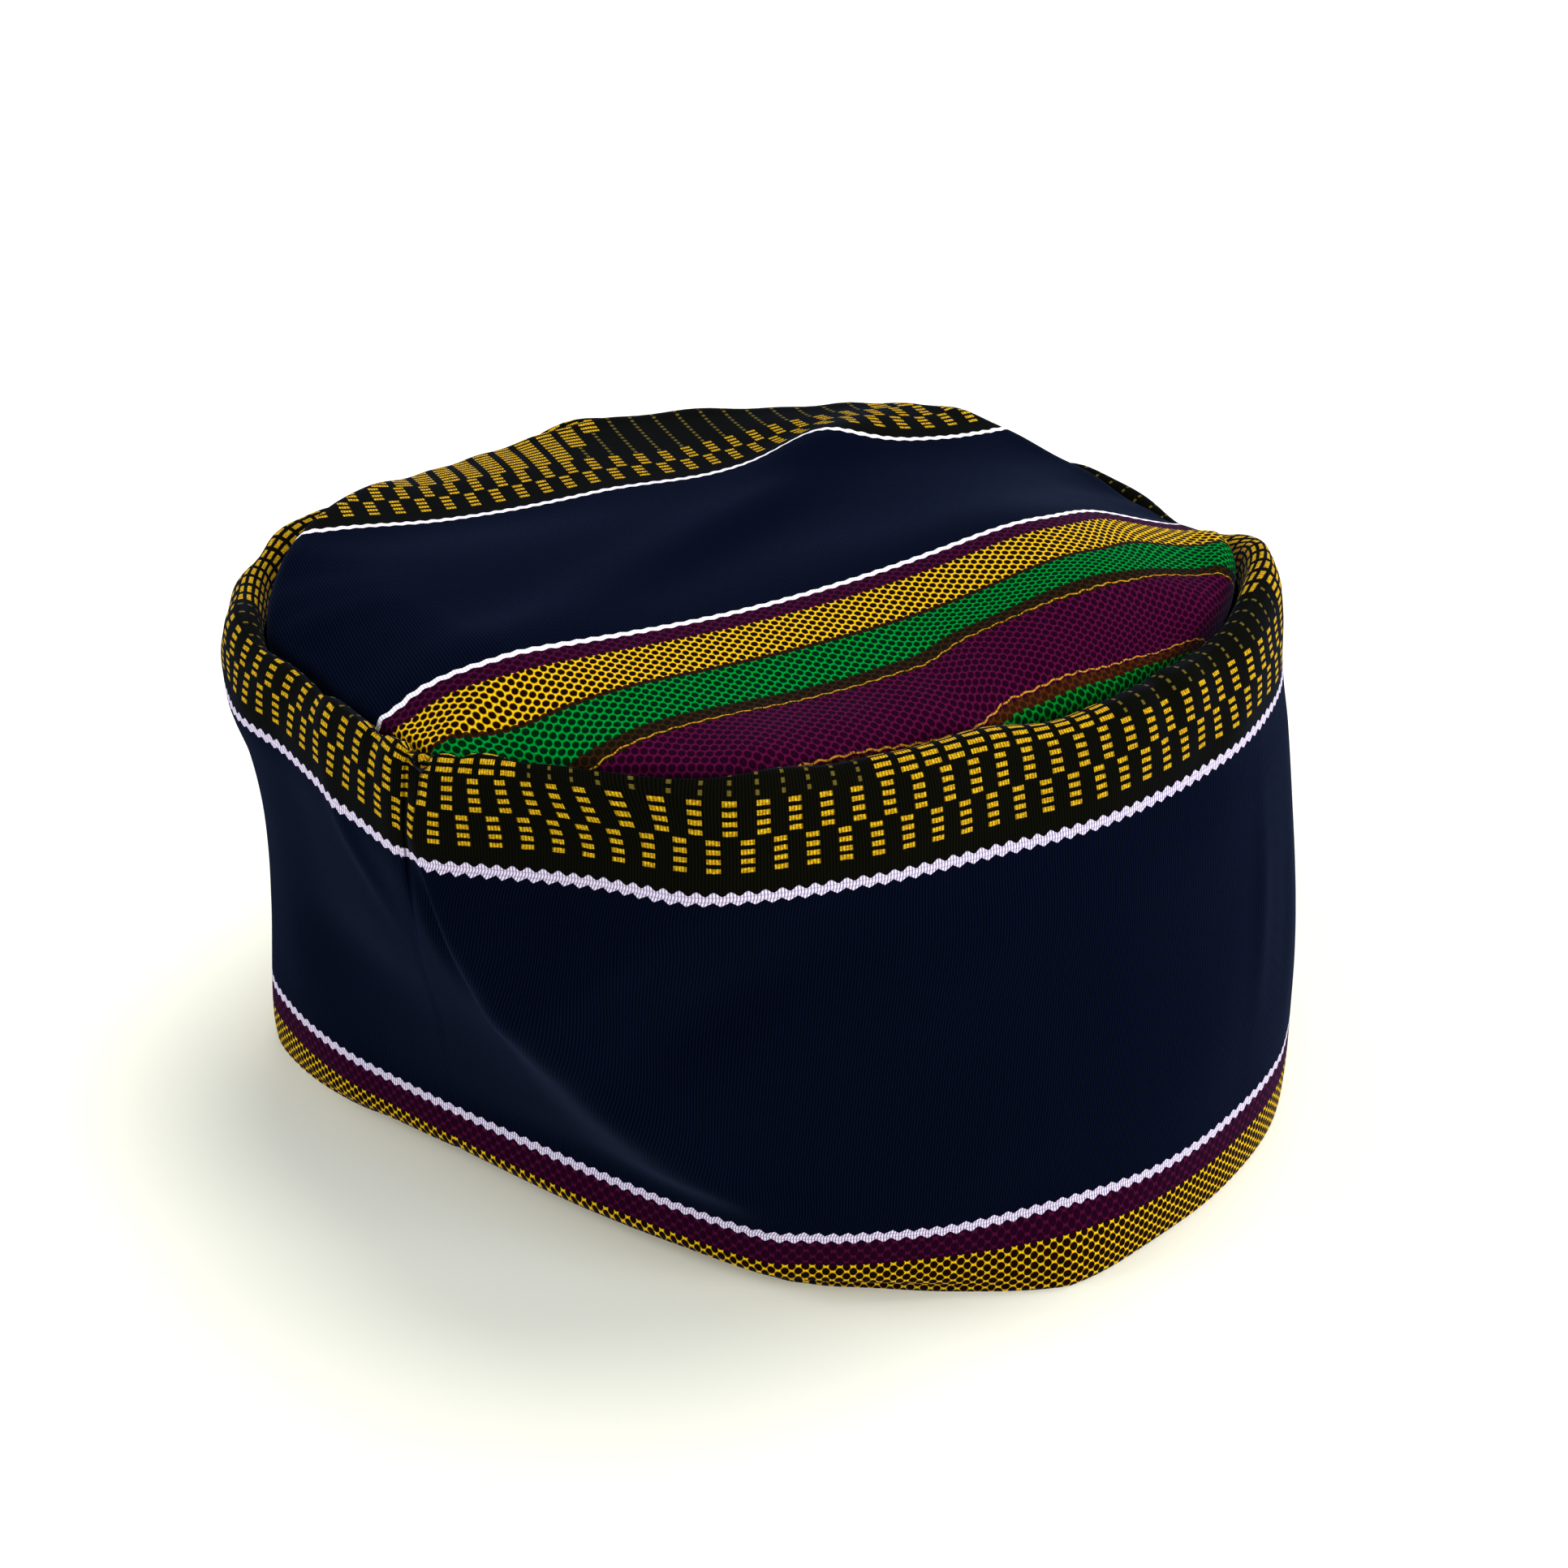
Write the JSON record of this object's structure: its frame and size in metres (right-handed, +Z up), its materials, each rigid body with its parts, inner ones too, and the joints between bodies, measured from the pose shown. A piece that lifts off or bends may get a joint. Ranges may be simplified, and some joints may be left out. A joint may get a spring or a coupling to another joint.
{
  "type": "kufi",
  "caption": "Round brimless cloth cap with a tall striped side band, a softly rolled top edge and a flat crown panel sewn inside it.",
  "frame": {"origin": "middle of the cap's box in plan, on the surface that its hem rests on", "axes": "+Z up through the crown, X along the long axis of the oval, the band's seam at the front left (-X, -Y)"},
  "size_m": [0.2156, 0.1775, 0.1142],
  "materials": {
    "band_cloth": "matt woven cotton with fine ribs, a toothed white line above and below, gold dashes on olive black at the rolled edge and a yellow net over dark spots at the hem",
    "crown_cloth": "matt woven cotton in diagonal stripes: navy, toothed white lines, gold dashes, and yellow, green and purple nets over dark spots"
  },
  "bodies": {
    "root": {"side_band": "band_cloth", "crown_top": "crown_cloth"}
  },
  "joints": []
}
